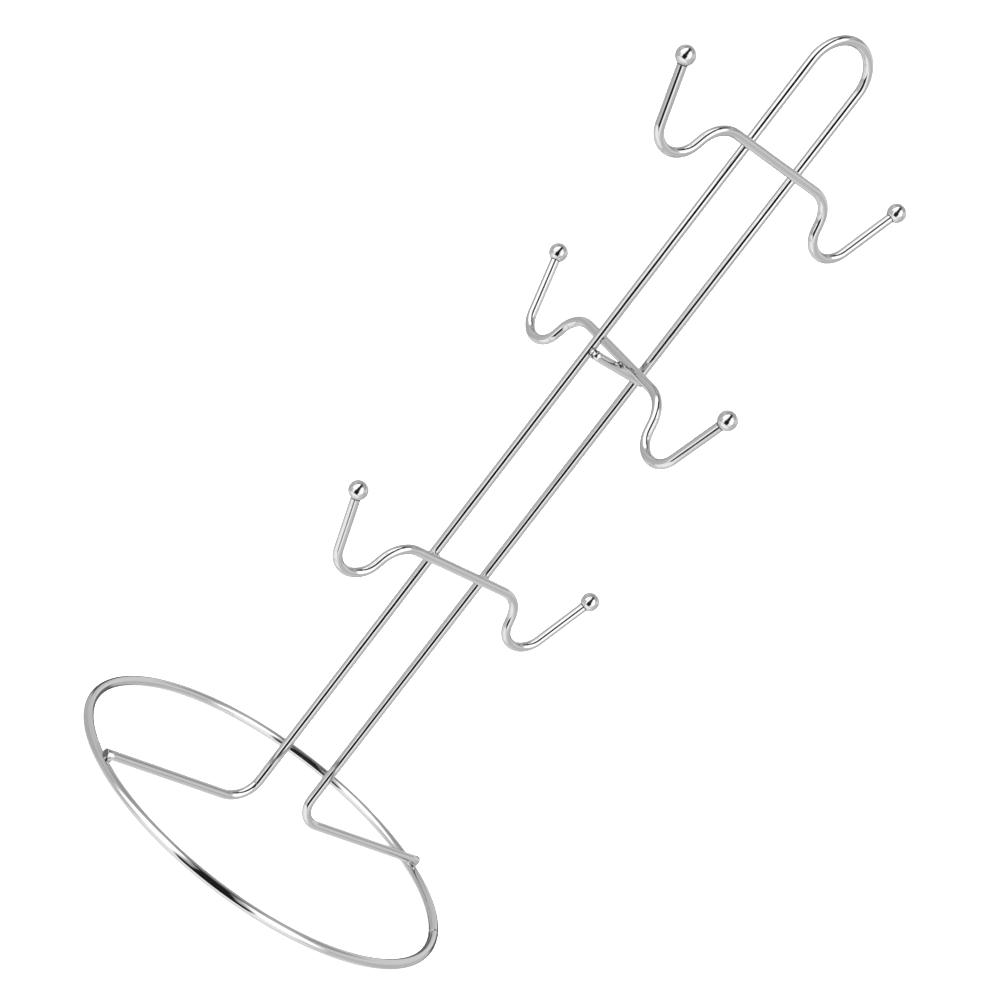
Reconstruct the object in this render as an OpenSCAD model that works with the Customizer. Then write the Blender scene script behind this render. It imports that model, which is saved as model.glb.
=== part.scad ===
// Wire mug tree: six mugs hang by their handles on three double-hook arms.
// Everything is bent from one round wire, and the crossings are resistance welded.
// Frame: +Z up, the post stands in the XZ plane, and the origin is on the table at the ring's centre.

/* [Wire] */
// Diameter of the drawn wire that every piece is bent from
wire_d = 3.6; // [3:0.1:4.2]
// Diameter of the ball on the end of each hook
ball_d = 7; // [6:0.1:9]

/* [Base ring] */
// Outer diameter of the ring that stands on the table
ring_outer_d = 158; // [140:1:190]
// Direction in which the ring's butt weld faces, in degrees from +X
seam_angle = -35; // [-170:5:-10]

/* [Post] */
// Overall height, from the table to the top of the post's bend
overall_h = 354; // [345:1:400]
// Distance between the centre lines of the two uprights
upright_spacing = 26.5; // [22:0.5:30]
// Centre-line radius of the bend between an upright and its foot
foot_bend_r = 10; // [6:0.5:16]
// How far each foot reaches past the ring's centre line
foot_overhang = 1; // [0.4:0.1:1.6]

/* [Arms] */
// Height of the top arm's bar above the table
top_arm_z = 304; // [290:1:315]
// Height of the middle arm's bar above the table
middle_arm_z = 218; // [200:1:235]
// Height of the bottom arm's bar above the table
bottom_arm_z = 122; // [100:1:140]

/* [Hooks] */
// Length of the straight bar in the middle of an arm
bar_l = 45.2; // [38:0.2:56]
// Centre-line radius of the bend from the bar down to a hook
shoulder_r = 11.5; // [8:0.5:14]
// Angle of that bend, in degrees
shoulder_angle = 73; // [65:0.5:80]
// Length of the straight wire between the two bends
drop_l = 2.8; // [1:0.2:8]
// Centre-line radius of the bend that a mug's handle hangs in
hook_r = 9.5; // [7.5:0.5:12]
// Angle of that bend, in degrees: what it turns past the shoulder's angle is the slope up to the ball
hook_angle = 141.5; // [130:0.5:150]
// Length from the end of that bend to the middle of the ball
rise_l = 24; // [18:0.5:32]

/* [Welds] */
// How far two crossing wires are pressed into each other by the weld
set_down = 0.25; // [0.15:0.05:0.4]
// Diameter of the metal squeezed out round a welded crossing
nugget_d = 4.5; // [4.2:0.1:5]
// Width of the butt weld that closes the ring
seam_w = 1; // [0.6:0.1:1.6]
// How far the ring's butt weld and the welds under the balls stand proud of the wire
bead_h = 0.2; // [0.15:0.05:0.4]

/* [Hidden] */
$fn = 64;
RING_FN = 180;

chrome = [0.80, 0.81, 0.83];
weld_grey = [0.62, 0.63, 0.65];

bite = 0.3;                               // how far a straight length runs on inside a bend
bend_d = wire_d + 0.04;                   // a bend is a hair thicker, so that this end is buried
ring_r = (ring_outer_d - wire_d) / 2;     // centre line of the ring
ring_z = wire_d / 2;
cross_gap = wire_d - set_down;            // between the centre lines of two welded wires
foot_z = ring_z + cross_gap;
foot_end = ring_r + foot_overhang;
upright_x = upright_spacing / 2;
top_bend_z = overall_h - bend_d / 2 - upright_x;
front_y = -cross_gap;                     // plane of everything welded to the post's front
crossbar_z = middle_arm_z - cross_gap;
crossbar_l = upright_spacing;             // its ends stop at the middles of the uprights

seat_l = sqrt(pow(ball_d / 2, 2) - pow(wire_d / 2, 2));   // ball's centre to the wire's cut end
seam_sweep = seam_w / ring_r * 180 / PI;

// Wire is drawn along a path: each piece arrives at the local origin heading +X, in the XY plane.

// Straight length of wire that starts at the origin; it runs on a little inside a bend that it meets
module rod(length, bend_before = false, bend_after = false) {
    before = bend_before ? bite : 0;
    after = bend_after ? bite : 0;
    translate([-before, 0, 0])
        rotate([0, 90, 0])
            cylinder(d = wire_d, h = before + length + after);
}

// Moves on to the far end of a bend to the left (side 1) or to the right (side -1)
module after_bend(radius, sweep, side) {
    translate([0, side * radius, 0])
        rotate([0, 0, side * sweep])
            translate([0, -side * radius, 0])
                children();
}

// Bend that starts at the origin, to the left (side 1) or to the right (side -1)
module bend(radius, sweep, side) {
    translate([0, side * radius, 0])
        rotate_extrude(angle = sweep, start = side > 0 ? -90 : 90 - sweep)
            translate([radius, 0])
                circle(d = bend_d);
}

// Stands the drawing plane upright, so that its Y becomes +Z
module upright_plane() {
    rotate([90, 0, 0])
        children();
}

module both_sides() {
    children();
    mirror([1, 0, 0])
        children();
}

// Puts an arm's own plane at a height, on the post's front or turned across it
module arm_place(z, y = front_y, turn = 0) {
    translate([0, y, z])
        rotate([0, 0, turn])
            upright_plane()
                children();
}

// Moves from the middle of an arm's bar to the ball's centre, along the wire
module at_tip() {
    translate([bar_l / 2, 0, 0])
        after_bend(shoulder_r, shoulder_angle, -1)
            translate([drop_l, 0, 0])
                after_bend(hook_r, hook_angle, 1)
                    translate([rise_l, 0, 0])
                        children();
}

module arm_wire() {
    translate([-bar_l / 2, 0, 0])
        rod(bar_l, bend_before = true, bend_after = true);
    both_sides()
        translate([bar_l / 2, 0, 0]) {
            bend(shoulder_r, shoulder_angle, -1);
            after_bend(shoulder_r, shoulder_angle, -1) {
                rod(drop_l, bend_before = true, bend_after = true);
                translate([drop_l, 0, 0]) {
                    bend(hook_r, hook_angle, 1);
                    after_bend(hook_r, hook_angle, 1)
                        rod(rise_l - seat_l, bend_before = true);
                }
            }
        }
}

// Ball with the flat that the wire's cut end is welded to
module tip_ball(side) {
    mirror([side < 0 ? 1 : 0, 0, 0])
        at_tip()
            difference() {
                sphere(d = ball_d);
                translate([-seat_l - ball_d / 2, 0, 0])
                    cube(ball_d, center = true);
            }
}

// Collar of squeezed-out metal between a wire's end and its ball
module tip_collar() {
    collar_l = seat_l + wire_d / 4;
    at_tip()
        difference() {
            translate([-collar_l, 0, 0])
                rotate([0, 90, 0])
                    cylinder(d = wire_d + 2 * bead_h, h = collar_l - seat_l / 2);
            translate([-2 * collar_l, 0, 0])
                rod(2 * collar_l);
            sphere(d = ball_d);
        }
}

module ring_wire() {
    translate([0, 0, ring_z])
        rotate_extrude($fn = RING_FN)
            translate([ring_r, 0])
                circle(d = wire_d);
}

module upright_rods() {
    for (side = [-1, 1])
        translate([side * upright_x, 0, foot_z + foot_bend_r])
            rotate([0, -90, 0])
                rod(top_bend_z - foot_z - foot_bend_r, bend_before = true, bend_after = true);
}

module foot_rods() {
    both_sides()
        translate([upright_x + foot_bend_r, 0, foot_z])
            rod(foot_end - upright_x - foot_bend_r, bend_before = true);
}

module post_wire() {
    upright_rods();
    foot_rods();
    upright_plane() {
        translate([-upright_x, top_bend_z, 0])
            rotate([0, 0, 90])
                bend(upright_x, 180, -1);
        both_sides()
            translate([upright_x, foot_z + foot_bend_r, 0])
                rotate([0, 0, -90])
                    bend(foot_bend_r, 90, 1);
    }
}

module crossbar_rod() {
    arm_place(crossbar_z)
        translate([-crossbar_l / 2, 0, 0])
            rod(crossbar_l);
}

// Metal squeezed out round one crossing; the children are the two wires
module nugget(centre) {
    difference() {
        translate(centre)
            sphere(d = nugget_d);
        children();
    }
}

module base_ring() {
    color(chrome)
        translate([0, 0, ring_z])
            rotate_extrude(angle = 360 - seam_sweep, start = seam_angle + seam_sweep / 2, $fn = RING_FN)
                translate([ring_r, 0])
                    circle(d = wire_d);
}

module ring_seam_weld() {
    color(weld_grey)
        rotate([0, 0, seam_angle - seam_sweep / 2])
            translate([0, 0, ring_z])
                rotate_extrude(angle = seam_sweep, $fn = RING_FN)
                    translate([ring_r, 0])
                        intersection() {
                            circle(d = wire_d + 2 * bead_h);
                            translate([0, bead_h])
                                square([2 * wire_d, wire_d + 2 * bead_h], center = true);
                        }
}

module post_frame() {
    color(chrome)
        difference() {
            post_wire();
            ring_wire();
        }
}

module foot_welds() {
    color(weld_grey)
        for (side = [-1, 1])
            nugget([side * ring_r, 0, ring_z + cross_gap / 2]) {
                ring_wire();
                foot_rods();
            }
}

// Arm welded across the front of both uprights, with a shallow seat where it crosses each
module front_arm(z) {
    color(chrome)
        difference() {
            arm_place(z)
                arm_wire();
            upright_rods();
        }
}

module front_arm_welds(z) {
    color(weld_grey)
        for (side = [-1, 1])
            nugget([side * upright_x, front_y / 2, z]) {
                arm_place(z)
                    arm_wire();
                upright_rods();
            }
}

module top_arm() { front_arm(top_arm_z); }
module top_arm_welds() { front_arm_welds(top_arm_z); }
module bottom_arm() { front_arm(bottom_arm_z); }
module bottom_arm_welds() { front_arm_welds(bottom_arm_z); }

module crossbar() {
    color(chrome)
        difference() {
            crossbar_rod();
            upright_rods();
        }
}

module crossbar_welds() {
    color(weld_grey)
        for (side = [-1, 1])
            nugget([side * upright_x, front_y / 2, crossbar_z]) {
                crossbar_rod();
                upright_rods();
            }
}

module middle_arm_wire() {
    arm_place(middle_arm_z, y = 0, turn = 90)
        arm_wire();
}

module middle_arm() {
    color(chrome)
        difference() {
            middle_arm_wire();
            crossbar_rod();
        }
}

module middle_arm_weld() {
    color(weld_grey)
        nugget([0, front_y, middle_arm_z - cross_gap / 2]) {
            middle_arm_wire();
            crossbar_rod();
        }
}

module front_ball(z, side) {
    color(chrome)
        arm_place(z)
            tip_ball(side);
}

module middle_ball(side) {
    color(chrome)
        arm_place(middle_arm_z, y = 0, turn = 90)
            tip_ball(side);
}

module ball_top_left() { front_ball(top_arm_z, -1); }
module ball_top_right() { front_ball(top_arm_z, 1); }
module ball_middle_front() { middle_ball(-1); }
module ball_middle_back() { middle_ball(1); }
module ball_bottom_left() { front_ball(bottom_arm_z, -1); }
module ball_bottom_right() { front_ball(bottom_arm_z, 1); }

module ball_welds() {
    color(weld_grey) {
        for (z = [top_arm_z, bottom_arm_z])
            arm_place(z)
                both_sides()
                    tip_collar();
        arm_place(middle_arm_z, y = 0, turn = 90)
            both_sides()
                tip_collar();
    }
}

base_ring();
ring_seam_weld();
post_frame();
foot_welds();
top_arm();
top_arm_welds();
ball_top_left();
ball_top_right();
crossbar();
crossbar_welds();
middle_arm();
middle_arm_weld();
ball_middle_front();
ball_middle_back();
bottom_arm();
bottom_arm_welds();
ball_bottom_left();
ball_bottom_right();
ball_welds();
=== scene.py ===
import math
import random

import bmesh
import bpy
from mathutils import Matrix, Vector


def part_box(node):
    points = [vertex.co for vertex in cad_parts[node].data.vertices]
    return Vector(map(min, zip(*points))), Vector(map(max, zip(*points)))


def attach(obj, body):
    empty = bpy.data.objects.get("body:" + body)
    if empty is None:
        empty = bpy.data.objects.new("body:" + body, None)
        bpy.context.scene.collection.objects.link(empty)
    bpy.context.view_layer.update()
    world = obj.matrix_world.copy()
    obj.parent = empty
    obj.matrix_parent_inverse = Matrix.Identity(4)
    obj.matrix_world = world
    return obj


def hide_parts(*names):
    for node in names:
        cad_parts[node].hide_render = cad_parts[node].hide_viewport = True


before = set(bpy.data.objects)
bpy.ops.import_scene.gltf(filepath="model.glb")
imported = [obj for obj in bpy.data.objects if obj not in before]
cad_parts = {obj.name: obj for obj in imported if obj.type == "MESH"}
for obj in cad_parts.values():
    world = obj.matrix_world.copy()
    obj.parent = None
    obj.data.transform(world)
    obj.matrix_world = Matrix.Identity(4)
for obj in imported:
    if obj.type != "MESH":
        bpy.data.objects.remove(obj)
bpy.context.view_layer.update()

bl_info = {
    "name": "Wire mug tree",
    "version": (1, 0, 0),
    "blender": (4, 5, 0),
    "location": "3D View > Sidebar > Mug Tree",
    "description": "Chrome wire mug tree with a ring base, three double-hook arms and ball ends",
    "category": "Object",
}

BODY = "root"
MM = 0.001

# Places and sizes taken from the solids' boxes, so that the wires follow the frame.
CROSSBAR_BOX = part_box("crossbar")
RING_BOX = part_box("base_ring")
POST_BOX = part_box("post_frame")
WIRE_DIAMETER = CROSSBAR_BOX[1].z - CROSSBAR_BOX[0].z
RING_RADIUS = RING_BOX[1].x - WIRE_DIAMETER / 2
RING_HEIGHT = (RING_BOX[0].z + RING_BOX[1].z) / 2
FOOT_END = POST_BOX[1].x
UPRIGHT_X = (CROSSBAR_BOX[1].x - CROSSBAR_BOX[0].x) / 2
FRONT_Y = (CROSSBAR_BOX[0].y + CROSSBAR_BOX[1].y) / 2
CROSSBAR_Z = (CROSSBAR_BOX[0].z + CROSSBAR_BOX[1].z) / 2
ARM_HEIGHT = {name: sum(c.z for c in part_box(name + "_arm_welds")) / 2 for name in ("top", "bottom")}
ARM_HEIGHT["middle"] = CROSSBAR_Z - FRONT_Y


def metres(label, value, note):
    """A length property."""
    return bpy.props.FloatProperty(
        name=label, description=note, default=value, min=0.0, precision=5, unit="LENGTH", subtype="DISTANCE"
    )


def degrees(label, value, note):
    """An angle property, given in degrees."""
    return bpy.props.FloatProperty(
        name=label, description=note, default=math.radians(value), unit="ROTATION", subtype="ANGLE"
    )


def linear(hex_colour):
    """Linear RGBA of an sRGB hex colour."""
    parts = [int(hex_colour[i:i + 2], 16) / 255 for i in (0, 2, 4)]
    return tuple(c / 12.92 if c <= 0.04045 else ((c + 0.055) / 1.055) ** 2.4 for c in parts) + (1.0,)


def colour(label, hex_colour, note):
    """A colour property, given as an sRGB hex colour."""
    return bpy.props.FloatVectorProperty(
        name=label, description=note, default=linear(hex_colour), size=4, min=0.0, max=1.0, subtype="COLOR"
    )


class MugTreeWire(bpy.types.PropertyGroup):
    """Sizes of the wire and its ends"""
    diameter: metres("Wire diameter", WIRE_DIAMETER, "Diameter of the drawn wire")
    foot_bend: metres("Foot bend radius", 10 * MM, "Centre-line radius between an upright and its foot")
    straightness: metres("Straightness", 0.03 * MM, "How far the wire wanders from a true line")
    end_chamfer: metres("End chamfer", 0.2 * MM, "Chamfer on the cut ends of the wire")
    end_melt: metres("End melt", 0.7 * MM, "How far the crossbar's ends are rounded off by their welds")
    sides: bpy.props.IntProperty(
        name="Sides", description="Faces round the wire", default=32, min=12, max=64
    )


class MugTreeHook(bpy.types.PropertyGroup):
    """Sizes of the bends that make an arm and its hooks"""
    bar: metres("Bar length", 45.2 * MM, "Straight wire in the middle of an arm")
    shoulder_radius: metres("Shoulder radius", 11.5 * MM, "Centre-line radius from the bar down to a hook")
    shoulder_angle: degrees("Shoulder angle", 73, "Angle of the shoulder bend")
    drop: metres("Drop", 2.8 * MM, "Straight wire between the two bends")
    hook_radius: metres("Hook radius", 9.5 * MM, "Centre-line radius of the bend a handle hangs in")
    hook_angle: degrees("Hook angle", 141.5, "Angle of the hook bend")
    rise: metres("Rise", 24 * MM, "From the end of the hook bend to the middle of the ball")
    ball: metres("Ball diameter", 7 * MM, "Diameter of the ball on each hook")


class MugTreeWelds(bpy.types.PropertyGroup):
    """Sizes of the welds"""
    bead: metres("Bead diameter", 3.55 * MM, "Diameter of the metal squeezed out round a crossing")
    unevenness: metres("Bead unevenness", 0.22 * MM, "How uneven the squeezed-out metal is")
    collar_height: metres("Collar height", 0.05 * MM, "How far the weld behind a ball stands proud")
    seam_angle: degrees("Seam angle", -35, "Direction in which the ring's butt weld faces")
    seam_width: metres("Seam width", 1.0 * MM, "Width of the ring's butt weld")
    seam_height: metres("Seam height", 0.17 * MM, "How far the ring's butt weld stands proud")


class MugTreeFinish(bpy.types.PropertyGroup):
    """Colours of the finishes and of the stage"""
    chrome: colour("Chrome", "C9C9C9", "Colour of the bright chrome plate")
    weld: colour("Plated weld", "CECECE", "Colour of the plate over rough weld metal")
    sheared: colour("Sheared end", "747474", "Colour of the plate over a sheared wire end")
    # Painted shade: this dark colour stands in for the shade in the hollows where the wires run into the
    # balls. It also colours the random dark specks of the weld metal.
    hollow_shade_and_specks: colour("Crease", "4C4C4C", "Colour of thin plate, in the creases and specks of the welds")
    sweep: colour("Sweep", "F4F4F4", "Colour of the floor and the wall behind")


GROUPS = {
    "mug_tree_wire": MugTreeWire,
    "mug_tree_hook": MugTreeHook,
    "mug_tree_welds": MugTreeWelds,
    "mug_tree_finish": MugTreeFinish,
}


def add(tree, kind, inputs=(), links=(), **settings):
    """Adds a node: inputs are (socket, value) pairs, links are (socket, output) pairs."""
    node = tree.nodes.new(kind)
    for key, value in settings.items():
        setattr(node, key, value)
    for socket, value in inputs:
        node.inputs[socket].default_value = value
    for socket, output in links:
        tree.links.new(output, node.inputs[socket])
    return node


def new_material(name):
    """A material with an empty node tree, and that tree."""
    material = bpy.data.materials.new(name)
    material.use_nodes = True
    material.node_tree.nodes.clear()
    return material, material.node_tree


def finish_metal(tree, base, roughness, normal):
    """Ends a metal's tree: the base is one colour, or the socket that works it out."""
    shader = add(tree, "ShaderNodeBsdfPrincipled", (("Metallic", 1.0),),
                 (("Roughness", roughness), ("Normal", normal)))
    if isinstance(base, tuple):
        shader.inputs["Base Color"].default_value = base
    else:
        tree.links.new(base, shader.inputs["Base Color"])
    add(tree, "ShaderNodeOutputMaterial", (), (("Surface", shader.outputs[0]),))


# Bright decorative chrome over cold-drawn mild steel wire. The die leaves fine lines along the wire,
# which the plate softens: highlights keep a sharp edge along the wire and waver a little across it.
DRAW_LINE_PITCH = 0.30 * MM       # real lines are nearer 0.05 mm: drawn this coarse so that they show
DRAW_LINE_LENGTH = 14 * MM        # how far a line keeps on along the wire
WAVER_LENGTH = 9 * MM             # slow swell that roller straightening leaves
HAZE_SIZE = 2.5 * MM              # patches where the plate is a little less bright


def chrome_wire_material(finish):
    material, tree = new_material("chrome_plated_drawn_wire")
    lie = add(tree, "ShaderNodeAttribute", attribute_name="wire_lie")
    stretch = (1 / DRAW_LINE_PITCH, 1 / DRAW_LINE_PITCH, 1 / DRAW_LINE_LENGTH)
    lines_at = add(tree, "ShaderNodeMapping", (("Scale", stretch),), (("Vector", lie.outputs["Vector"]),))
    lines = add(tree, "ShaderNodeTexNoise", (("Scale", 1.0), ("Detail", 3.0), ("Roughness", 0.6)),
                (("Vector", lines_at.outputs[0]),))
    swell = add(tree, "ShaderNodeTexNoise", (("Scale", 1 / WAVER_LENGTH), ("Detail", 1.0)),
                (("Vector", lie.outputs["Vector"]),))
    haze = add(tree, "ShaderNodeTexNoise", (("Scale", 1 / HAZE_SIZE), ("Detail", 4.0), ("Roughness", 0.6)),
               (("Vector", lie.outputs["Vector"]),))
    near_weld = add(tree, "ShaderNodeAttribute", attribute_name="near_weld")
    bump_swell = add(tree, "ShaderNodeBump", (("Strength", 1.0), ("Distance", 0.035 * MM)),
                     (("Height", swell.outputs[0]),))
    bump = add(tree, "ShaderNodeBump", (("Strength", 0.8), ("Distance", 0.010 * MM)),
               (("Height", lines.outputs[0]), ("Normal", bump_swell.outputs[0])))
    clean = add(tree, "ShaderNodeMapRange", (("From Min", 0.3), ("From Max", 0.75), ("To Min", 0.035),
                                             ("To Max", 0.085)), (("Value", haze.outputs[0]),))
    rough = add(tree, "ShaderNodeMath", ((1, 0.16),),
                ((0, near_weld.outputs["Fac"]), (2, clean.outputs[0])), operation="MULTIPLY_ADD")
    mix = add(tree, "ShaderNodeMix", ((6, tuple(finish.chrome)), (7, tuple(finish.weld))),
              ((0, near_weld.outputs["Fac"]),), data_type="RGBA")
    finish_metal(tree, mix.outputs[2], rough.outputs[0], bump.outputs[0])
    return material


# The same plate over a ground steel ball: rounder, cleaner reflections with a few fine pits.
PIT_SPACING = 0.9 * MM
FILM_SIZE = 1.6 * MM              # patches where the plate is a little less bright


def chrome_ball_material(finish):
    material, tree = new_material("chrome_plated_steel_ball")
    place = add(tree, "ShaderNodeTexCoord")
    pits = add(tree, "ShaderNodeTexVoronoi", (("Scale", 1 / PIT_SPACING), ("Randomness", 1.0)),
               (("Vector", place.outputs["Object"]),))
    pit = add(tree, "ShaderNodeMapRange", (("From Min", 0.0), ("From Max", 0.12), ("To Min", 0.0),
                                           ("To Max", 1.0)), (("Value", pits.outputs["Distance"]),))
    film = add(tree, "ShaderNodeTexNoise", (("Scale", 1 / FILM_SIZE), ("Detail", 3.0)),
               (("Vector", place.outputs["Object"]),))
    bump_pit = add(tree, "ShaderNodeBump", (("Strength", 0.35), ("Distance", 0.01 * MM)),
                   (("Height", pit.outputs[0]),))
    bump = add(tree, "ShaderNodeBump", (("Strength", 1.0), ("Distance", 0.012 * MM)),
               (("Height", film.outputs[0]), ("Normal", bump_pit.outputs[0])))
    rough = add(tree, "ShaderNodeMapRange", (("From Min", 0.3), ("From Max", 0.75), ("To Min", 0.03),
                                             ("To Max", 0.08)), (("Value", film.outputs[0]),))
    finish_metal(tree, tuple(finish.chrome), rough.outputs[0], bump.outputs[0])
    return material


# Chrome over resistance-weld metal: the plate follows every ripple and pit, so it glitters and goes dull,
# with dark specks where scale kept the plate thin.
RIPPLE_SIZE = 0.5 * MM
SPECK_SPACING = 1.3 * MM


def plated_weld_material(finish):
    material, tree = new_material("chrome_plated_weld_metal")
    place = add(tree, "ShaderNodeTexCoord")
    ripple = add(tree, "ShaderNodeTexNoise",
                 (("Scale", 1 / RIPPLE_SIZE), ("Detail", 4.0), ("Roughness", 0.65)),
                 (("Vector", place.outputs["Object"]),))
    bump = add(tree, "ShaderNodeBump", (("Strength", 1.0), ("Distance", 0.035 * MM)),
               (("Height", ripple.outputs[0]),))
    rough = add(tree, "ShaderNodeMapRange", (("From Min", 0.3), ("From Max", 0.7), ("To Min", 0.16),
                                             ("To Max", 0.36)), (("Value", ripple.outputs[0]),))
    scale = add(tree, "ShaderNodeTexNoise", (("Scale", 1 / SPECK_SPACING), ("Detail", 2.0)),
                (("Vector", place.outputs["Object"]),))
    thin = add(tree, "ShaderNodeMapRange", (("From Min", 0.50), ("From Max", 0.60)),
               (("Value", scale.outputs[0]),))
    mix = add(tree, "ShaderNodeMix", ((6, tuple(finish.weld)), (7, tuple(finish.hollow_shade_and_specks))),
              ((0, thin.outputs[0]),), data_type="RGBA")
    finish_metal(tree, mix.outputs[2], rough.outputs[0], bump.outputs[0])
    return material


# Plate over a sheared end: half burnished by the blade, half torn, so it is dark and matt beside the wire.
SHEAR_LINE = 0.25 * MM            # spacing of the lines that the blade leaves


def sheared_end_material(finish):
    material, tree = new_material("chrome_plated_sheared_end")
    place = add(tree, "ShaderNodeTexCoord")
    stretch = (0.2 / SHEAR_LINE, 1 / SHEAR_LINE, 0.2 / SHEAR_LINE)
    lines_at = add(tree, "ShaderNodeMapping", (("Scale", stretch),), (("Vector", place.outputs["Object"]),))
    tear = add(tree, "ShaderNodeTexNoise", (("Scale", 1.0), ("Detail", 5.0), ("Roughness", 0.7)),
               (("Vector", lines_at.outputs[0]),))
    bump = add(tree, "ShaderNodeBump", (("Strength", 1.0), ("Distance", 0.06 * MM)),
               (("Height", tear.outputs[0]),))
    rough = add(tree, "ShaderNodeMapRange", (("From Min", 0.3), ("From Max", 0.7), ("To Min", 0.22),
                                             ("To Max", 0.5)), (("Value", tear.outputs[0]),))
    finish_metal(tree, tuple(finish.sheared), rough.outputs[0], bump.outputs[0])
    return material


# Painted shade: the collar in the narrow hollow between wire and ball gets a dark, matt colour in place of
# the shade that falls there.
def hollow_shade_material(finish):
    material, tree = new_material("weld_hollow_painted_shade")
    place = add(tree, "ShaderNodeTexCoord")
    grain = add(tree, "ShaderNodeTexNoise", (("Scale", 1 / RIPPLE_SIZE), ("Detail", 3.0)),
                (("Vector", place.outputs["Object"]),))
    bump = add(tree, "ShaderNodeBump", (("Strength", 1.0), ("Distance", 0.03 * MM)),
               (("Height", grain.outputs[0]),))
    rough = add(tree, "ShaderNodeMapRange", (("To Min", 0.35), ("To Max", 0.6)),
                (("Value", grain.outputs[0]),))
    finish_metal(tree, tuple(finish.hollow_shade_and_specks), rough.outputs[0], bump.outputs[0])
    return material


def material_of(name):
    """The named finish, made the first time that it is asked for."""
    finish = bpy.context.scene.mug_tree_finish
    makers = {
        "chrome_plated_drawn_wire": chrome_wire_material,
        "chrome_plated_steel_ball": chrome_ball_material,
        "chrome_plated_weld_metal": plated_weld_material,
        "chrome_plated_sheared_end": sheared_end_material,
        "weld_hollow_painted_shade": hollow_shade_material,
    }
    return bpy.data.materials.get(name) or makers[name](finish)


def group(name, sockets):
    """New geometry node group with a geometry input and output and the named inputs."""
    tree = bpy.data.node_groups.new(name, "GeometryNodeTree")
    tree.interface.new_socket("Geometry", in_out="OUTPUT", socket_type="NodeSocketGeometry")
    tree.interface.new_socket("Geometry", in_out="INPUT", socket_type="NodeSocketGeometry")
    for label, kind in sockets:
        tree.interface.new_socket(label, in_out="INPUT", socket_type="NodeSocket" + kind)
    return tree, add(tree, "NodeGroupInput"), add(tree, "NodeGroupOutput")


WANDERS_PER_METRE = 22.0          # how often straightened wire strays to one side and back


def swept_wire_group():
    """Sweeps a round section along a mesh's edges; wire_lie holds each point's place round and along it."""
    if "Swept wire" in bpy.data.node_groups:
        return bpy.data.node_groups["Swept wire"]
    tree, given, out = group("Swept wire", (("Diameter", "Float"), ("Sides", "Int"), ("Wander", "Float"),
                                            ("Material", "Material")))
    line = add(tree, "GeometryNodeMeshToCurve", (), (("Mesh", given.outputs["Geometry"]),))
    place = add(tree, "GeometryNodeInputPosition")
    noise = add(tree, "ShaderNodeTexNoise", (("Scale", WANDERS_PER_METRE), ("Detail", 1.0)),
                (("Vector", place.outputs[0]),))
    centred = add(tree, "ShaderNodeVectorMath", ((1, (0.5, 0.5, 0.5)),), ((0, noise.outputs["Color"]),),
                  operation="SUBTRACT")
    shift = add(tree, "ShaderNodeVectorMath", (),
                ((0, centred.outputs[0]), ("Scale", given.outputs["Wander"])), operation="SCALE")
    moved = add(tree, "GeometryNodeSetPosition", (),
                (("Geometry", line.outputs[0]), ("Offset", shift.outputs[0])))
    along = add(tree, "GeometryNodeSplineParameter")
    kept = tree.nodes.new("GeometryNodeCaptureAttribute")
    kept.capture_items.new("FLOAT", "Length")
    tree.links.new(moved.outputs[0], kept.inputs["Geometry"])
    tree.links.new(along.outputs["Length"], kept.inputs["Length"])
    radius = add(tree, "ShaderNodeMath", ((1, 0.5),), ((0, given.outputs["Diameter"]),),
                 operation="MULTIPLY")
    section = add(tree, "GeometryNodeCurvePrimitiveCircle", (), (("Radius", radius.outputs[0]),
                                                                 ("Resolution", given.outputs["Sides"])))
    rim = tree.nodes.new("GeometryNodeCaptureAttribute")
    rim.capture_items.new("VECTOR", "Round")
    rim_place = add(tree, "GeometryNodeInputPosition")
    tree.links.new(section.outputs["Curve"], rim.inputs["Geometry"])
    tree.links.new(rim_place.outputs[0], rim.inputs["Round"])
    thick = add(tree, "GeometryNodeInputNamedAttribute", (("Name", "thick"),), data_type="FLOAT")
    tube = add(tree, "GeometryNodeCurveToMesh", (("Fill Caps", True),),
               (("Curve", kept.outputs["Geometry"]), ("Profile Curve", rim.outputs["Geometry"]),
                ("Scale", thick.outputs["Attribute"])))
    split = add(tree, "ShaderNodeSeparateXYZ", (), ((0, rim.outputs["Round"]),))
    lie = add(tree, "ShaderNodeCombineXYZ", (), (("X", split.outputs["X"]), ("Y", split.outputs["Y"]),
                                                 ("Z", kept.outputs["Length"])))
    stored = add(tree, "GeometryNodeStoreNamedAttribute", (("Name", "wire_lie"),),
                 (("Geometry", tube.outputs[0]), ("Value", lie.outputs[0])), data_type="FLOAT_VECTOR",
                 domain="POINT")
    smooth = add(tree, "GeometryNodeSetShadeSmooth", (), (("Geometry", stored.outputs[0]),))
    real = add(tree, "GeometryNodeRealizeInstances", (), ((0, smooth.outputs[0]),))
    coat = add(tree, "GeometryNodeSetMaterial", (), (("Geometry", real.outputs[0]),
                                                     ("Material", given.outputs["Material"])))
    tree.links.new(coat.outputs[0], out.inputs[0])
    return tree


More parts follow.
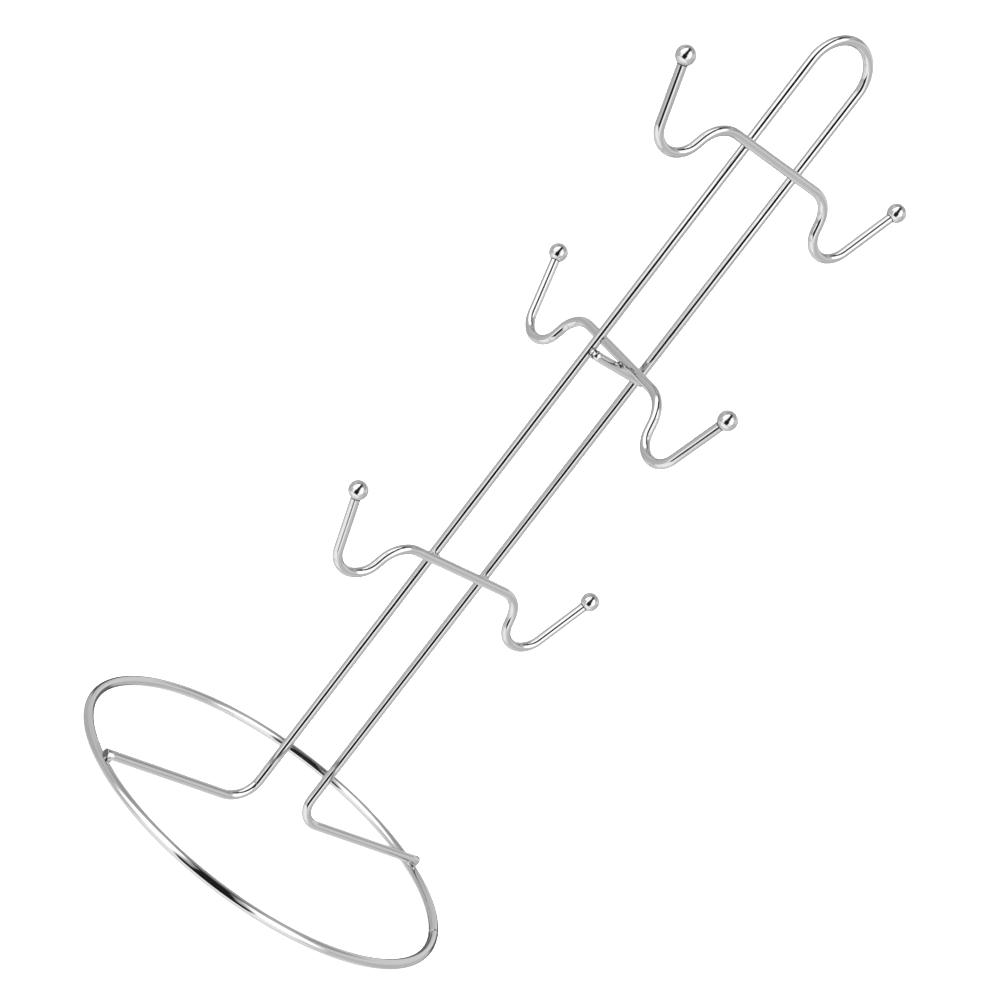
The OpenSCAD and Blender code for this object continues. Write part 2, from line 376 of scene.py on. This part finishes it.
def placed_beads_group():
    """Puts a noisy ball on each point, turned to its axis and stretched by its size."""
    if "Placed beads" in bpy.data.node_groups:
        return bpy.data.node_groups["Placed beads"]
    tree, given, out = group("Placed beads", (("Detail", "Int"), ("Unevenness", "Float"),
                                              ("Lump size", "Float"), ("Material", "Material")))
    ball = add(tree, "GeometryNodeMeshIcoSphere", (("Radius", 1.0),),
               (("Subdivisions", given.outputs["Detail"]),))
    axis = add(tree, "GeometryNodeInputNamedAttribute", (("Name", "axis"),), data_type="FLOAT_VECTOR")
    size = add(tree, "GeometryNodeInputNamedAttribute", (("Name", "size"),), data_type="FLOAT_VECTOR")
    turn = add(tree, "FunctionNodeAlignRotationToVector", (), (("Vector", axis.outputs["Attribute"]),),
               axis="Z")
    beads = add(tree, "GeometryNodeInstanceOnPoints", (),
                (("Points", given.outputs["Geometry"]), ("Instance", ball.outputs["Mesh"]),
                 ("Rotation", turn.outputs[0]), ("Scale", size.outputs["Attribute"])))
    real = add(tree, "GeometryNodeRealizeInstances", (), ((0, beads.outputs[0]),))
    place = add(tree, "GeometryNodeInputPosition")
    spread = add(tree, "ShaderNodeMath", ((0, 1.0),), ((1, given.outputs["Lump size"]),),
                 operation="DIVIDE")
    noise = add(tree, "ShaderNodeTexNoise", (("Detail", 2.0), ("Roughness", 0.55)),
                (("Vector", place.outputs[0]), ("Scale", spread.outputs[0])))
    centred = add(tree, "ShaderNodeMath", ((1, 0.5),), ((0, noise.outputs[0]),), operation="SUBTRACT")
    height = add(tree, "ShaderNodeMath", (), ((0, centred.outputs[0]), (1, given.outputs["Unevenness"])),
                 operation="MULTIPLY")
    normal = add(tree, "GeometryNodeInputNormal")
    push = add(tree, "ShaderNodeVectorMath", (), ((0, normal.outputs[0]), ("Scale", height.outputs[0])),
               operation="SCALE")
    lumpy = add(tree, "GeometryNodeSetPosition", (),
                (("Geometry", real.outputs[0]), ("Offset", push.outputs[0])))
    smooth = add(tree, "GeometryNodeSetShadeSmooth", (), (("Geometry", lumpy.outputs[0]),))
    coat = add(tree, "GeometryNodeSetMaterial", (), (("Geometry", smooth.outputs[0]),
                                                     ("Material", given.outputs["Material"])))
    tree.links.new(coat.outputs[0], out.inputs[0])
    return tree


def placed_copies_group():
    """Puts a copy of one turned shape on each point, its +X along the point's axis."""
    if "Placed copies" in bpy.data.node_groups:
        return bpy.data.node_groups["Placed copies"]
    tree, given, out = group("Placed copies", (("Shape", "Object"), ("Material", "Material")))
    shape = add(tree, "GeometryNodeObjectInfo", (), (("Object", given.outputs["Shape"]),))
    axis = add(tree, "GeometryNodeInputNamedAttribute", (("Name", "axis"),), data_type="FLOAT_VECTOR")
    turn = add(tree, "FunctionNodeAlignRotationToVector", (), (("Vector", axis.outputs["Attribute"]),),
               axis="X")
    copies = add(tree, "GeometryNodeInstanceOnPoints", (),
                 (("Points", given.outputs["Geometry"]), ("Instance", shape.outputs["Geometry"]),
                  ("Rotation", turn.outputs[0])))
    smooth = add(tree, "GeometryNodeSetShadeSmooth", (), (("Geometry", copies.outputs[0]),))
    real = add(tree, "GeometryNodeRealizeInstances", (), ((0, smooth.outputs[0]),))
    coat = add(tree, "GeometryNodeSetMaterial", (), (("Geometry", real.outputs[0]),
                                                     ("Material", given.outputs["Material"])))
    tree.links.new(coat.outputs[0], out.inputs[0])
    return tree


def mesh_object(name, points, edges=(), faces=()):
    """An object in the scene with a mesh of its own."""
    mesh = bpy.data.meshes.new(name)
    mesh.from_pydata([tuple(p) for p in points], list(edges), list(faces))
    mesh.update()
    made = bpy.data.objects.new(name, mesh)
    bpy.context.scene.collection.objects.link(made)
    return made


def store(mesh, name, kind, values):
    """Writes one attribute value for each point."""
    layer = mesh.attributes.new(name, kind, "POINT")
    key = "value" if kind == "FLOAT" else "vector"
    flat = values if kind == "FLOAT" else [c for v in values for c in v]
    layer.data.foreach_set(key, list(flat))


def grow(name, source, tree, values):
    """Runs a node group over an object and returns the result as a plain mesh object."""
    modifier = source.modifiers.new("grow", "NODES")
    modifier.node_group = tree
    for item in tree.interface.items_tree:
        if item.item_type == "SOCKET" and item.in_out == "INPUT" and item.name in values:
            modifier[item.identifier] = values[item.name]
    evaluated = source.evaluated_get(bpy.context.evaluated_depsgraph_get())
    mesh = bpy.data.meshes.new_from_object(evaluated)
    mesh.name = name
    source.modifiers.remove(modifier)
    bpy.data.objects.remove(source)
    made = bpy.data.objects.new(name, mesh)
    bpy.context.scene.collection.objects.link(made)
    return made


class Trail:
    """Centre line of a wire in one plane, built up from straight lengths and bends."""

    def __init__(self, x, y, heading):
        self.points = [(x, y)]
        self.heading = heading

    def straight(self, length, step=4 * MM):
        """Carries on straight ahead."""
        x, y = self.points[-1]
        count = max(1, round(length / step))
        for k in range(1, count + 1):
            part = length * k / count
            self.points.append((x + part * math.cos(self.heading), y + part * math.sin(self.heading)))
        return self

    def bend(self, radius, angle, side, step=math.radians(3)):
        """Carries on round a bend, to the left for side 1 and to the right for side -1."""
        x, y = self.points[-1]
        centre_x = x - side * radius * math.sin(self.heading)
        centre_y = y + side * radius * math.cos(self.heading)
        count = max(2, math.ceil(angle / step))
        for k in range(1, count + 1):
            ahead = self.heading + side * angle * k / count
            self.points.append((centre_x + side * radius * math.sin(ahead),
                                centre_y - side * radius * math.cos(ahead)))
        self.heading += side * angle
        return self


def arm_half(hook):
    """Right half of an arm from the middle of its bar to the end of its hook bend."""
    trail = Trail(0, 0, 0)
    trail.straight(hook.bar / 2)
    trail.bend(hook.shoulder_radius, hook.shoulder_angle, -1)
    trail.straight(hook.drop, step=1 * MM)
    trail.bend(hook.hook_radius, hook.hook_angle, 1)
    return trail


def arm_to_world(name, across, up):
    """Place of a point in an arm's own plane."""
    if name == "middle":
        return Vector((0, across, ARM_HEIGHT[name] + up))
    return Vector((across, FRONT_Y, ARM_HEIGHT[name] + up))


FOOT_BEAD_SHIFT = 1.0 * MM        # the bead sits inside the ring's centre line, clear of the cut end
CROSSBAR_BEAD_FORWARD = 0.85      # the bead wraps the bar's end: share of the way to the bar's own axis


def weld_points():
    """Every welded crossing: its centre, its axis from wire to wire, where it spattered, and its node."""
    gap = -FRONT_Y
    up, back, all_round = Vector((0, 0, 1)), Vector((0, 1, 0)), Vector((0, 0, 0))
    found = []
    for side in (-1, 1):
        foot = Vector((side * (RING_RADIUS - FOOT_BEAD_SHIFT), 0, RING_HEIGHT + gap / 2))
        found.append((foot, up, -back, "foot_welds"))
        for name in ("top", "bottom"):
            found.append((Vector((side * UPRIGHT_X, FRONT_Y / 2, ARM_HEIGHT[name])), back, all_round,
                          name + "_arm_welds"))
        bar_end = Vector((side * UPRIGHT_X, FRONT_Y * CROSSBAR_BEAD_FORWARD, CROSSBAR_Z))
        found.append((bar_end, back, all_round, "crossbar_welds"))
    nugget = Vector((0, FRONT_Y, (ARM_HEIGHT["middle"] + CROSSBAR_Z) / 2))
    found.append((nugget, up, all_round, "middle_arm_weld"))
    return found


WELD_REACH = 5.5 * MM             # how far along a wire the heat of a weld dulls the plate


def mark_near_welds(piece):
    """Stores how close each point of a wire is to a weld, for the duller plate there."""
    centres = [w[0] for w in weld_points()]
    near = []
    for vertex in piece.data.vertices:
        gap = min((vertex.co - c).length for c in centres)
        near.append(max(0.0, 1 - gap / WELD_REACH) ** 1.5)
    store(piece.data, "near_weld", "FLOAT", near)


def wire_piece(name, points, thick, node_name, cyclic=False):
    """Sweeps one wire along its centre line and stands it in for its solid."""
    sizes = bpy.context.scene.mug_tree_wire
    count = len(points)
    edges = [(k, k + 1) for k in range(count - 1)] + ([(count - 1, 0)] if cyclic else [])
    source = mesh_object(name + "_path", points, edges)
    store(source.data, "thick", "FLOAT", thick)
    piece = grow(name, source, swept_wire_group(), {
        "Diameter": sizes.diameter, "Sides": sizes.sides, "Wander": sizes.straightness,
        "Material": material_of("chrome_plated_drawn_wire")})
    mark_near_welds(piece)
    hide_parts(node_name)
    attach(piece, BODY)
    return piece


def chamfered(points, chamfer, radius):
    """Adds the points and the section scale that chamfer both ends of a centre line."""
    points = [Vector(p) for p in points]
    from_start = (points[1] - points[0]).normalized() * chamfer
    from_end = (points[-2] - points[-1]).normalized() * chamfer
    points = [points[0], points[0] + from_start, *points[1:-1], points[-1] + from_end, points[-1]]
    small = 1 - chamfer / radius
    thick = [small] + [1.0] * (len(points) - 2) + [small]
    return points, thick


def face_ends(piece, finish_name):
    """Gives the faces at a wire's ends, the only ones with more than 4 corners, their own finish."""
    piece.data.materials.append(material_of(finish_name))
    for polygon in piece.data.polygons:
        if len(polygon.vertices) > 4:
            polygon.material_index = len(piece.data.materials) - 1
            polygon.use_smooth = False


class MUGTREE_OT_base_ring(bpy.types.Operator):
    """Ring that stands on the table, closed by a butt weld"""
    bl_idname = "mugtree.base_ring"
    bl_label = "Base ring"

    def execute(self, context):
        steps = 240
        turns = [2 * math.pi * k / steps for k in range(steps)]
        points = [Vector((RING_RADIUS * math.cos(a), RING_RADIUS * math.sin(a), RING_HEIGHT))
                  for a in turns]
        wire_piece("ring_wire", points, [1.0] * steps, "base_ring", cyclic=True)
        return {"FINISHED"}


SEAM_INSET = 0.05 * MM            # the ends of the butt weld's skin lie this far inside the wire
TABLE_GAP = 0.01 * MM             # and its underside is ground off this far above the table


class MUGTREE_OT_ring_seam(bpy.types.Operator):
    """Butt weld that closes the ring, ground level with the table underneath"""
    bl_idname = "mugtree.ring_seam"
    bl_label = "Ring seam"

    def execute(self, context):
        welds, wire = context.scene.mug_tree_welds, context.scene.mug_tree_wire
        rng = random.Random(7)
        radius, around, along = wire.diameter / 2, 48, 14
        verts, faces = [], []
        for i in range(along + 1):
            part = i / along
            swell = math.sin(math.pi * part)
            angle = welds.seam_angle + (part - 0.5) * welds.seam_width / RING_RADIUS
            for j in range(around):
                a = 2 * math.pi * j / around
                lobe = 0.35 * math.sin(3 * a + 1) * math.sin(2 * math.pi * part)
                lump = 1 + lobe + rng.uniform(-0.12, 0.12)
                r = radius - SEAM_INSET + (welds.seam_height + SEAM_INSET) * swell ** 0.7 * lump
                out, up = r * math.cos(a), r * math.sin(a)
                up = max(up, -RING_HEIGHT + TABLE_GAP)
                verts.append(((RING_RADIUS + out) * math.cos(angle), (RING_RADIUS + out) * math.sin(angle),
                              RING_HEIGHT + up))
        for i in range(along):
            for j in range(around):
                k = (j + 1) % around
                faces.append((i * around + j, i * around + k, (i + 1) * around + k, (i + 1) * around + j))
        faces.append(tuple(reversed(range(around))))
        faces.append(tuple(range(along * around, (along + 1) * around)))
        piece = mesh_object("ring_butt_weld", verts, (), faces)
        turn_faces_out(piece)
        piece.data.shade_smooth()
        piece.data.materials.append(material_of("chrome_plated_weld_metal"))
        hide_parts("ring_seam_weld")
        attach(piece, BODY)
        return {"FINISHED"}


def turn_faces_out(piece):
    """Makes every face of a closed mesh look outward."""
    work = bmesh.new()
    work.from_mesh(piece.data)
    bmesh.ops.recalc_face_normals(work, faces=work.faces)
    work.to_mesh(piece.data)
    work.free()


class MUGTREE_OT_post(bpy.types.Operator):
    """One wire bent over at the top, with a foot at each end"""
    bl_idname = "mugtree.post"
    bl_label = "Post"

    def execute(self, context):
        wire = context.scene.mug_tree_wire
        foot_z = RING_HEIGHT - FRONT_Y
        top_z = POST_BOX[1].z - wire.diameter / 2 - UPRIGHT_X
        trail = Trail(-FOOT_END, foot_z, 0)
        trail.straight(FOOT_END - UPRIGHT_X - wire.foot_bend)
        trail.bend(wire.foot_bend, math.pi / 2, 1)
        trail.straight(top_z - foot_z - wire.foot_bend)
        trail.bend(UPRIGHT_X, math.pi, -1)
        trail.straight(top_z - foot_z - wire.foot_bend)
        trail.bend(wire.foot_bend, math.pi / 2, 1)
        trail.straight(FOOT_END - UPRIGHT_X - wire.foot_bend)
        points, thick = chamfered([(x, 0, z) for x, z in trail.points], wire.end_chamfer, wire.diameter / 2)
        piece = wire_piece("post_wire", points, thick, "post_frame")
        face_ends(piece, "chrome_plated_sheared_end")
        return {"FINISHED"}


SEAT_OVERLAP = 0.2 * MM           # how far an arm's wire runs on inside its ball


class MUGTREE_OT_arms(bpy.types.Operator):
    """Three double-hook arms, each bent from one wire, and the crossbar that carries the middle one"""
    bl_idname = "mugtree.arms"
    bl_label = "Arms and crossbar"

    def execute(self, context):
        wire, hook = context.scene.mug_tree_wire, context.scene.mug_tree_hook
        half = arm_half(hook)
        half.straight(hook.rise - seat_length(wire, hook) + SEAT_OVERLAP)
        right = half.points
        for name in ("top", "middle", "bottom"):
            line = [arm_to_world(name, -x, z) for x, z in reversed(right[1:])]
            line += [arm_to_world(name, x, z) for x, z in right]
            wire_piece(name + "_arm_wire", line, [1.0] * len(line), name + "_arm")
        count = 12
        line = [Vector((UPRIGHT_X * (2 * k / count - 1), FRONT_Y, CROSSBAR_Z)) for k in range(count + 1)]
        line, thick = chamfered(line, wire.end_melt, wire.diameter / 2)
        piece = wire_piece("crossbar_wire", line, thick, "crossbar")
        face_ends(piece, "chrome_plated_weld_metal")
        return {"FINISHED"}


def seat_length(wire, hook):
    """Distance from a ball's centre to where the wire's surface runs into the ball."""
    return math.sqrt((hook.ball / 2) ** 2 - (wire.diameter / 2) ** 2)


def tip_places(hook):
    """Ball centre and wire direction at each of the six hook ends."""
    half = arm_half(hook)
    half.straight(hook.rise)
    x, z = half.points[-1]
    along = (math.cos(half.heading), math.sin(half.heading))
    found = []
    for name in ("top", "middle", "bottom"):
        for side in (-1, 1):
            centre = arm_to_world(name, side * x, z)
            ahead = arm_to_world(name, side * (x + along[0]), z + along[1])
            found.append((centre, (ahead - centre).normalized()))
    return found


def turned(name, profile, segments=56):
    """Closed shape turned about the X axis from (x, radius) pairs; the first and last radius are 0."""
    verts, faces, rings = [], [], []
    for x, r in profile:
        if r == 0:
            rings.append([len(verts)])
            verts.append((x, 0, 0))
        else:
            rings.append(list(range(len(verts), len(verts) + segments)))
            turns = [2 * math.pi * k / segments for k in range(segments)]
            verts += [(x, r * math.cos(a), r * math.sin(a)) for a in turns]
    for a, b in zip(rings, rings[1:]):
        for k in range(segments):
            n = (k + 1) % segments
            if len(a) == 1:
                faces.append((a[0], b[n], b[k]))
            elif len(b) == 1:
                faces.append((a[k], a[n], b[0]))
            else:
                faces.append((a[k], a[n], b[n], b[k]))
    made = mesh_object(name, verts, (), faces)
    turn_faces_out(made)
    return made


def copies_piece(name, shape, places, material, nodes):
    """One piece made of a copy of the shape at each place, which stands in for the named solids."""
    source = mesh_object(name + "_points", [p for p, _ in places])
    store(source.data, "axis", "FLOAT_VECTOR", [a for _, a in places])
    piece = grow(name, source, placed_copies_group(), {"Shape": shape, "Material": material_of(material)})
    bpy.data.objects.remove(shape)
    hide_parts(*nodes)
    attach(piece, BODY)
    return piece


FLAT_SHARE = 0.8                  # the ball's flat inside its wire, as a share of the wire's radius


class MUGTREE_OT_balls(bpy.types.Operator):
    """Steel balls on the six hook ends, and the collar of weld metal behind each, coloured dark as painted
    shade
    """
    bl_idname = "mugtree.balls"
    bl_label = "Balls and collars"

    def execute(self, context):
        wire, hook = context.scene.mug_tree_wire, context.scene.mug_tree_hook
        welds = context.scene.mug_tree_welds
        r, w = hook.ball / 2, wire.diameter / 2
        start = math.pi - math.asin(w * FLAT_SHARE / r)
        steps = 40
        profile = [(r * math.cos(start), 0)]
        profile += [(r * math.cos(start * (1 - k / steps)), r * math.sin(start * (1 - k / steps)))
                    for k in range(steps)]
        profile.append((r, 0))
        places = tip_places(hook)
        names = [f"ball_{a}_{b}" for a, pair in (("top", ("left", "right")), ("middle", ("front", "back")),
                                                 ("bottom", ("left", "right"))) for b in pair]
        copies_piece("hook_balls", turned("ball_shape", profile), places, "chrome_plated_steel_ball", names)
        seat = seat_length(wire, hook)
        bulge = welds.collar_height
        # From inside the wire, out over the narrow hollow and up the ball, then down inside the ball. The
        # collar is coloured dark as painted shade of that hollow.
        collar = [(x * MM - seat, radius) for x, radius in (
            (-0.30, 0), (-0.30, w - 0.04 * MM), (-0.20, w + 0.7 * bulge), (-0.08, w + bulge),
            (0.04, w + 1.6 * bulge), (0.12, w + 2.2 * bulge), (0.30, w * 0.9), (0.30, 0))]
        copies_piece("ball_collars", turned("collar_shape", collar), places, "weld_hollow_painted_shade",
                     ["ball_welds"])
        return {"FINISHED"}


BEAD_HEIGHT = 0.40                # half the bead's height from wire to wire, as a share of its diameter
BEAD_LUMP = 1.1 * MM              # size of the bead's lumps
SPATTER_DROPS = 3                 # drops of spatter at each crossing
SPATTER_REACH = (0.44, 0.58)      # how far from the crossing a drop sits, as a share of the bead's diameter
SPATTER_SIZE = (0.22 * MM, 0.38 * MM)     # radius of a drop
SPATTER_LEAN = 1.6                # how much a weld's own way counts beside a drop's random way


class MUGTREE_OT_welds(bpy.types.Operator):
    """Metal squeezed out round the welded crossings, with a few drops of spatter"""
    bl_idname = "mugtree.welds"
    bl_label = "Crossing welds"

    def execute(self, context):
        welds = context.scene.mug_tree_welds
        rng = random.Random(11)
        by_node = {}
        for centre, axis, lean, node_name in weld_points():
            by_node.setdefault(node_name, []).append((centre, axis, lean))
        for node_name, crossings in by_node.items():
            centres, axes, sizes = [], [], []
            for centre, axis, lean in crossings:
                centres.append(centre)
                axes.append(axis)
                sizes.append(Vector((0.5, 0.5, BEAD_HEIGHT)) * welds.bead)
                side_a = axis.orthogonal().normalized()
                side_b = axis.cross(side_a)
                for _ in range(SPATTER_DROPS):
                    a = rng.uniform(0, 2 * math.pi)
                    far = rng.uniform(*SPATTER_REACH) * welds.bead
                    way = (side_a * math.cos(a) + side_b * math.sin(a) + lean * SPATTER_LEAN).normalized()
                    centres.append(centre + way * far + axis * rng.uniform(-0.5, 0.5) * MM)
                    axes.append(axis)
                    sizes.append(Vector((1.2, 1.0, 0.8)) * rng.uniform(*SPATTER_SIZE))
            source = mesh_object(node_name + "_points", centres)
            store(source.data, "axis", "FLOAT_VECTOR", axes)
            store(source.data, "size", "FLOAT_VECTOR", sizes)
            piece = grow(node_name.rstrip("s") + "_beads", source, placed_beads_group(), {
                "Detail": 5, "Unevenness": welds.unevenness, "Lump size": BEAD_LUMP,
                "Material": material_of("chrome_plated_weld_metal")})
            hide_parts(node_name)
            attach(piece, BODY)
        return {"FINISHED"}


# The camera stands to the front left of the tree, about level with its top, and looks a little down.
# It is rolled, so that the post leans over to the right in the frame.
CAMERA_PLACE = Vector((-560.86, -610.97, 326.05)) * MM
CAMERA_AHEAD = Vector((0.65980, 0.72246, -0.20666))
CAMERA_RIGHT = Vector((0.67015, -0.44132, 0.59677))
CAMERA_LENS = 85.28               # mm, on a sensor 36 mm wide

# What the chrome mirrors, one light over the other: level, then the range round the tree from the camera
# and the range up from the horizon in degrees, then the softness of its edges in degrees.
BASE_LEVEL = 0.66
ALL_ROUND = (-400.0, 400.0)
WORLD_LAYERS = [
    (0.74, (72.0, 400.0), (-100.0, 100.0), 8.0),       # wall on one side
    (0.62, (146.0, 400.0), (-100.0, 60.0), 8.0),       # wall opposite the camera
    (0.62, (-400.0, -146.0), (-100.0, 60.0), 8.0),
    (0.12, (152.0, 400.0), (-32.0, 20.0), 3.0),        # dark gap in that wall
    (0.12, (-400.0, -152.0), (-32.0, 20.0), 3.0),
    (0.96, (70.0, 400.0), (12.0, 41.0), 4.0),          # lighter stretch of the walls
    (0.80, (-400.0, -80.0), (14.0, 38.0), 4.0),
    (0.50, (84.0, 400.0), (47.0, 62.0), 4.0),          # where the walls meet the ceiling
    (0.48, (-400.0, -84.0), (47.0, 62.0), 4.0),
    (2.10, (-72.0, -24.0), (-6.0, 74.0), 6.0),         # soft boxes either side of the camera
    (2.10, (24.0, 66.0), (-6.0, 60.0), 6.0),
    (0.96, (-62.0, 74.0), (-100.0, -8.0), 5.0),        # table top near the tree
    (0.78, (-96.0, -62.0), (-30.0, -8.0), 5.0),
    (0.84, (74.0, 104.0), (-36.0, -10.0), 6.0),
    (1.50, (-52.0, 53.0), (-34.0, -6.0), 3.0),
    (1.40, (-84.0, 84.0), (-100.0, -43.0), 4.0),
    (1.00, (90.0, 400.0), (-100.0, -38.0), 5.0),
    (1.00, (-400.0, -90.0), (-100.0, -38.0), 5.0),
    (0.16, ALL_ROUND, (75.0, 120.0), 4.0),             # dark ceiling
    (0.05, (-32.0, 32.0), (58.0, 80.0), 4.0),          # dark gap over and under the camera
    (0.02, (-14.0, 14.0), (0.0, 80.0), 2.5),
    (0.02, (-25.0, 25.0), (-42.0, 3.0), 2.5),
]


def band(tree, value, low, high, soft):
    """1 between two limits of a value, falling to 0 over a soft edge on each side."""
    rise = add(tree, "ShaderNodeMapRange", (("From Min", low - soft), ("From Max", low + soft)),
               (("Value", value),), interpolation_type="SMOOTHSTEP")
    fall = add(tree, "ShaderNodeMapRange", (("From Min", high - soft), ("From Max", high + soft),
                                            ("To Min", 1.0), ("To Max", 0.0)),
               (("Value", value),), interpolation_type="SMOOTHSTEP")
    return add(tree, "ShaderNodeMath", (), ((0, rise.outputs[0]), (1, fall.outputs[0])),
               operation="MULTIPLY").outputs[0]


def studio_world():
    """Soft boxes either side of the camera, with walls, a ceiling and a table, as light by direction."""
    world = bpy.data.worlds.new("soft_studio")
    world.use_nodes = True
    tree = world.node_tree
    tree.nodes.clear()
    to_camera = math.atan2(-CAMERA_AHEAD.y, -CAMERA_AHEAD.x)
    way = add(tree, "ShaderNodeTexCoord")
    facing = add(tree, "ShaderNodeVectorRotate", (("Angle", -to_camera),),
                 (("Vector", way.outputs["Generated"]),), rotation_type="Z_AXIS")
    axes = add(tree, "ShaderNodeSeparateXYZ", (), ((0, facing.outputs[0]),))
    turn = add(tree, "ShaderNodeMath", (), ((0, axes.outputs["Y"]), (1, axes.outputs["X"])),
               operation="ARCTAN2")
    rise = add(tree, "ShaderNodeMath", (), ((0, axes.outputs["Z"]),), operation="ARCSINE")
    side = add(tree, "ShaderNodeMath", (), ((0, turn.outputs[0]),), operation="DEGREES").outputs[0]
    height = add(tree, "ShaderNodeMath", (), ((0, rise.outputs[0]),), operation="DEGREES").outputs[0]
    light = BASE_LEVEL
    for level, side_range, height_range, softness in WORLD_LAYERS:
        across = band(tree, side, *side_range, softness)
        up = band(tree, height, *height_range, softness)
        mask = add(tree, "ShaderNodeMath", (), ((0, across), (1, up)), operation="MULTIPLY").outputs[0]
        blend = add(tree, "ShaderNodeMix", ((3, level),), ((0, mask),), data_type="FLOAT")
        if isinstance(light, float):
            blend.inputs[2].default_value = light
        else:
            tree.links.new(light, blend.inputs[2])
        light = blend.outputs[0]
    glow = add(tree, "ShaderNodeBackground", (("Color", (1, 1, 1, 1)),), (("Strength", light),))
    add(tree, "ShaderNodeOutputWorld", (), (("Surface", glow.outputs[0]),))
    bpy.context.scene.world = world


# The stage, in metres.
FLOOR_DROP = 0.02 * MM            # the floor lies this far under the tree, so that no faces meet
SWEEP_FLAT = 1.6                  # radius of the flat floor
SWEEP_CURVE = 0.9                 # radius of the curve up to the wall
SWEEP_TOP = 3.2                   # height of the wall
SWEEP_GLOW = 0.62                 # the paper glows this much, so that it stays even in every view
SOFT_BOX_SIZE = 1.8
SOFT_BOX_WATTS = 40
SOFT_BOX_PLACE = (0.2, -0.2, 1.9)


class MUGTREE_OT_stage(bpy.types.Operator):
    """Pale floor that curves up into a pale wall, soft studio light and the camera"""
    bl_idname = "mugtree.stage"
    bl_label = "Stage"

    def execute(self, context):
        scene = context.scene
        finish = scene.mug_tree_finish
        profile = [(-FLOOR_DROP, 0.0), (-FLOOR_DROP, SWEEP_FLAT / 5), (-FLOOR_DROP, SWEEP_FLAT)]
        profile += [(SWEEP_CURVE * (1 - math.cos(math.radians(a))),
                     SWEEP_FLAT + SWEEP_CURVE * math.sin(math.radians(a))) for a in range(10, 91, 10)]
        profile += [(SWEEP_TOP, SWEEP_FLAT + SWEEP_CURVE), (SWEEP_TOP, 0.0)]
        sweep = turned("studio_sweep", profile, segments=96)
        stand_up = Matrix(((0, 1, 0, 0), (0, 0, 1, 0), (1, 0, 0, 0), (0, 0, 0, 1)))
        sweep.data.transform(stand_up)
        sweep.data.flip_normals()
        sweep.data.shade_smooth()
        material, tree = new_material("matt_white_paper")
        paper = tuple(finish.sweep)
        shader = add(tree, "ShaderNodeBsdfPrincipled",
                     (("Base Color", paper), ("Roughness", 0.9), ("Emission Color", paper),
                      ("Emission Strength", SWEEP_GLOW)))
        add(tree, "ShaderNodeOutputMaterial", (), (("Surface", shader.outputs[0]),))
        sweep.data.materials.append(material)
        sweep.visible_glossy = False
        sweep.visible_diffuse = False
        sweep.visible_shadow = False
        light = bpy.data.lights.new("overhead_soft_box", "AREA")
        light.shape = "SQUARE"
        light.size = SOFT_BOX_SIZE
        light.energy = SOFT_BOX_WATTS
        lamp = bpy.data.objects.new("overhead_soft_box", light)
        lamp.location = SOFT_BOX_PLACE
        lamp.visible_camera = False
        lamp.visible_glossy = False
        scene.collection.objects.link(lamp)
        studio_world()
        lens = bpy.data.cameras.new("camera")
        lens.lens = CAMERA_LENS
        lens.sensor_width = 36
        lens.clip_start, lens.clip_end = 0.01, 20
        camera = bpy.data.objects.new("camera", lens)
        ahead = CAMERA_AHEAD.normalized()
        right = (CAMERA_RIGHT - ahead * CAMERA_RIGHT.dot(ahead)).normalized()
        up = right.cross(ahead)
        turn = Matrix((right, up, -ahead)).transposed()
        camera.matrix_world = Matrix.Translation(CAMERA_PLACE) @ turn.to_4x4()
        scene.collection.objects.link(camera)
        scene.camera = camera
        scene.view_settings.view_transform = "Standard"
        return {"FINISHED"}


OPERATORS = [MUGTREE_OT_base_ring, MUGTREE_OT_ring_seam, MUGTREE_OT_post, MUGTREE_OT_arms, MUGTREE_OT_balls,
             MUGTREE_OT_welds, MUGTREE_OT_stage]


class MUGTREE_PT_panel(bpy.types.Panel):
    """Lists the mug tree's pieces"""
    bl_idname = "MUGTREE_PT_panel"
    bl_label = "Mug Tree"
    bl_space_type = "VIEW_3D"
    bl_region_type = "UI"
    bl_category = "Mug Tree"

    def draw(self, context):
        for operator in OPERATORS:
            self.layout.operator(operator.bl_idname)


def register():
    for cls in [*GROUPS.values(), *OPERATORS, MUGTREE_PT_panel]:
        bpy.utils.register_class(cls)
    for name, cls in GROUPS.items():
        setattr(bpy.types.Scene, name, bpy.props.PointerProperty(type=cls))


def unregister():
    for name in GROUPS:
        delattr(bpy.types.Scene, name)
    for cls in [MUGTREE_PT_panel, *OPERATORS, *GROUPS.values()]:
        bpy.utils.unregister_class(cls)


def main():
    register()
    for operator in OPERATORS:
        family, name = operator.bl_idname.split(".")
        getattr(getattr(bpy.ops, family), name)()


if __name__ == "__main__":
    main()
